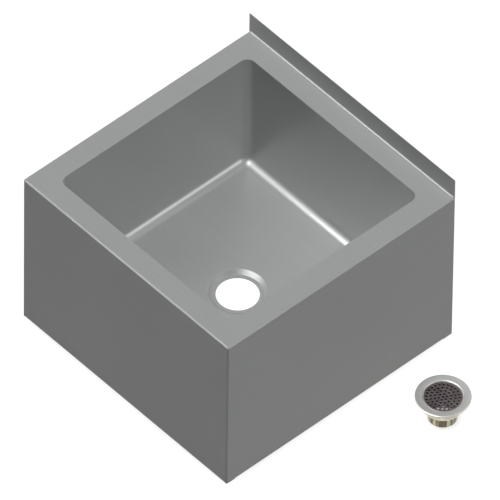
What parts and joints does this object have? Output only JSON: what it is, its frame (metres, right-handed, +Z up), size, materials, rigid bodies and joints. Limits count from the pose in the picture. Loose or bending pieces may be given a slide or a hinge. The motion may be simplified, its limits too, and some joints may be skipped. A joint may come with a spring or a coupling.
{
  "type": "mop service sink",
  "caption": "Floor-standing stainless mop sink: a deep square coved bowl in a tall skirted body with a low backsplash, and a loose flanged drain fitting with a lift-out strainer.",
  "frame": {"origin": "on the floor, in the plane of the sink's back, midway between its sides", "axes": "+X to the right as seen from the front, +Y towards the wall, +Z up"},
  "size_m": [0.8197, 0.6096, 0.454],
  "materials": {
    "stainless_sheet": "satin brushed",
    "raw_stainless": "mill finish",
    "satin_nickel": "nickel-plated brass, satin flange and polished tail",
    "strainer_metal": "dark reflective plate",
    "gasket_rubber": "matte black",
    "washer_fibre": "pressed fibre",
    "nut_metal": "cast, nickel-plated"
  },
  "bodies": {
    "sink": {"deck": "stainless_sheet", "backsplash": "stainless_sheet", "bowl_wrap": "stainless_sheet", "bowl_left_end": "stainless_sheet", "bowl_right_end": "stainless_sheet", "front_apron": "stainless_sheet", "left_apron": "stainless_sheet", "right_apron": "stainless_sheet", "rear_apron": "stainless_sheet", "front_left_gusset": "raw_stainless", "front_right_gusset": "raw_stainless", "rear_left_gusset": "raw_stainless", "rear_right_gusset": "raw_stainless", "left_channel": "raw_stainless", "right_channel": "raw_stainless"},
    "drain": {"strainer_body": "satin_nickel", "flange_gasket": "gasket_rubber"},
    "strainer": {"flat_strainer": "strainer_metal"},
    "friction_washer": {"friction_ring": "washer_fibre"},
    "clamp_nut": {"locknut": "nut_metal"}
  },
  "joints": [
    {"name": "drain_lift", "type": "slide", "parent": "sink", "child": "drain", "axis": [0, 0, 1], "range_m": [0, 0.5]},
    {"name": "strainer_lift", "type": "slide", "parent": "drain", "child": "strainer", "axis": [0, 0, 1], "range_m": [0, 0.08]},
    {"name": "ring_drop", "type": "slide", "parent": "drain", "child": "friction_washer", "axis": [0, 0, -1], "range_m": [0, 0.00635]},
    {"name": "nut_turn", "type": "hinge", "parent": "friction_washer", "child": "clamp_nut", "pos_m": [0.4578, -0.165, 0.05], "axis": [0, 0, -1], "range_deg": [0, 1080]}
  ],
  "couplings": [
    {"joint": "ring_drop", "follows": "nut_turn", "m_per_rad": 0.0003368}
  ]
}
